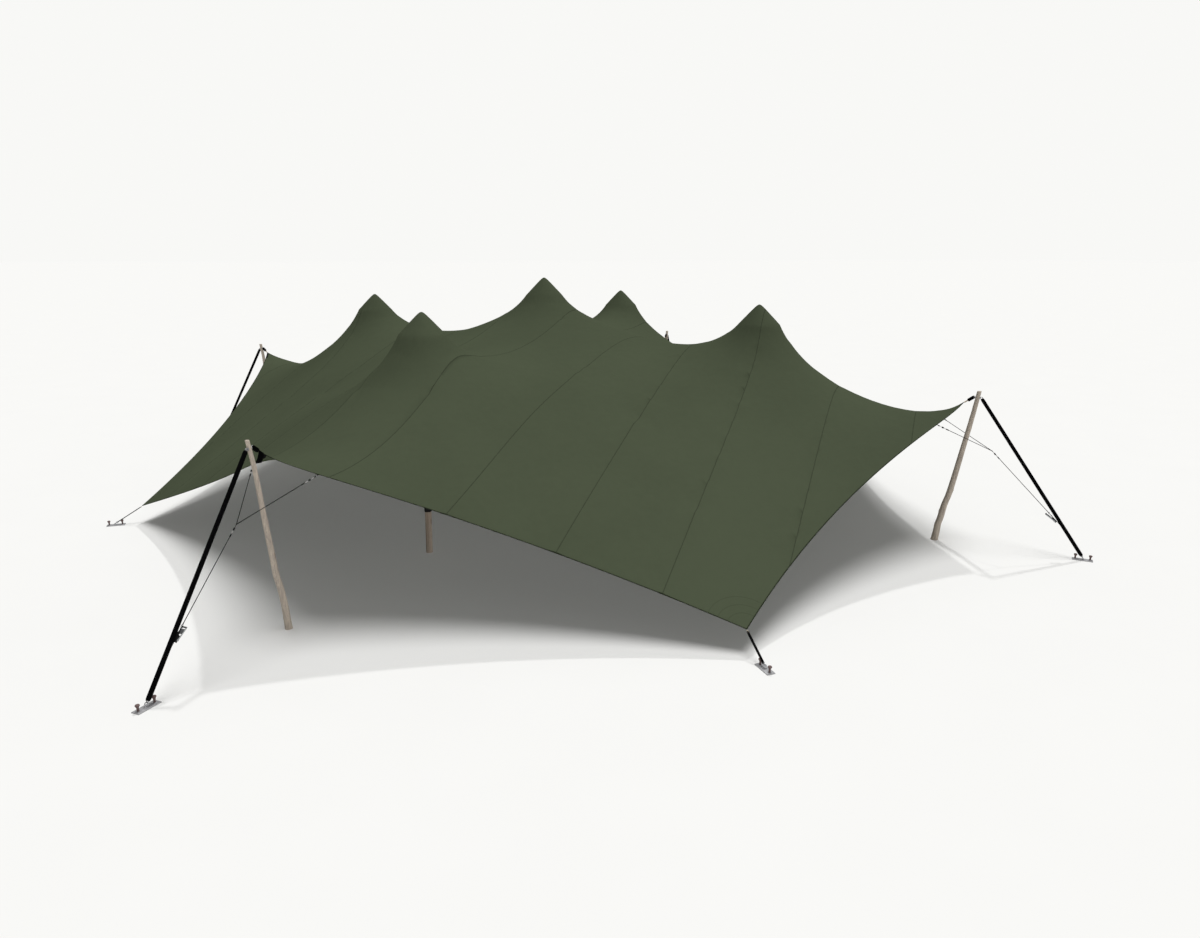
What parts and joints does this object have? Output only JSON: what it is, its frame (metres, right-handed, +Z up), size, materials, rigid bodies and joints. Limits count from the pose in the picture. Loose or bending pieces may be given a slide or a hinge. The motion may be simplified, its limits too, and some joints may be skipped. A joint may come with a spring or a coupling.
{
  "type": "stretch tent",
  "caption": "Stretch tent with a green seamed cloth canopy on wooden poles, webbing guys, rope bridles with ratchets, and pegged steel ground anchors.",
  "frame": {"origin": "on the ground under the middle of the canopy, at the foot of the centre pole", "axes": "+Z up, front is -Y, +Y along the longer side of the tent, +X to the right seen from the front"},
  "size_m": [15.59, 17.154, 4.121],
  "materials": {
    "cloth": "matte",
    "side_wood": "matte",
    "inner_wood": "matte",
    "webbing": "matte",
    "steel": "satin",
    "ratchet": "satin",
    "lever": "satin",
    "rope": "matte"
  },
  "bodies": {
    "tent": {"canopy_panel_01": "cloth", "canopy_panel_02": "cloth", "canopy_panel_03": "cloth", "canopy_panel_04": "cloth", "canopy_panel_05": "cloth", "canopy_panel_06": "cloth", "canopy_panel_07": "cloth", "canopy_panel_08": "cloth", "canopy_panel_09": "cloth", "canopy_panel_10": "cloth", "canopy_panel_11": "cloth", "canopy_panel_12": "cloth", "canopy_panel_13": "cloth", "centre_pole": "inner_wood", "inner_pole_front_left": "inner_wood", "inner_pole_front_right": "inner_wood", "inner_pole_back_right": "inner_wood", "inner_pole_back_left": "inner_wood", "side_pole_front_left": "side_wood", "side_pole_front_right": "side_wood", "side_pole_back_right": "side_wood", "side_pole_back_left": "side_wood", "guy_strap_front_left": "webbing", "guy_strap_front_right": "webbing", "guy_strap_back_right": "webbing", "guy_strap_back_left": "webbing", "corner_tie_front_left": "webbing", "corner_tie_front_right": "webbing", "corner_tie_back_right": "webbing", "corner_tie_back_left": "webbing", "corner_strap_front": "webbing", "corner_strap_left": "webbing", "corner_strap_right": "webbing", "corner_strap_back": "webbing", "anchor_front_left": "steel", "anchor_front_right": "steel", "anchor_back_right": "steel", "anchor_back_left": "steel", "anchor_front": "steel", "anchor_left": "steel", "anchor_right": "steel", "anchor_back": "steel", "ratchet_front_left": "ratchet", "ratchet_front_right": "ratchet", "ratchet_back_right": "ratchet", "ratchet_back_left": "ratchet", "bridle_front_left": "rope", "bridle_front_right": "rope", "bridle_back_right": "rope", "bridle_back_left": "rope"},
    "lever_front_left": {"ratchet_lever_front_left": "lever"},
    "lever_front_right": {"ratchet_lever_front_right": "lever"},
    "lever_back_right": {"ratchet_lever_back_right": "lever"},
    "lever_back_left": {"ratchet_lever_back_left": "lever"}
  },
  "joints": [
    {"name": "ratchet_handle_front_left", "type": "hinge", "parent": "tent", "child": "lever_front_left", "pos_m": [-6.06737, -6.6877, 0.55736], "axis": [-0.7406, 0.6719, 0], "range_deg": [0, 150]},
    {"name": "ratchet_handle_front_right", "type": "hinge", "parent": "tent", "child": "lever_front_right", "pos_m": [6.06737, -6.6877, 0.55736], "axis": [-0.7406, -0.6719, 0], "range_deg": [0, 150]},
    {"name": "ratchet_handle_back_right", "type": "hinge", "parent": "tent", "child": "lever_back_right", "pos_m": [6.06737, 6.6877, 0.55736], "axis": [0.7406, -0.6719, 0], "range_deg": [0, 150]},
    {"name": "ratchet_handle_back_left", "type": "hinge", "parent": "tent", "child": "lever_back_left", "pos_m": [-6.06737, 6.6877, 0.55736], "axis": [0.7406, 0.6719, 0], "range_deg": [0, 150]}
  ]
}
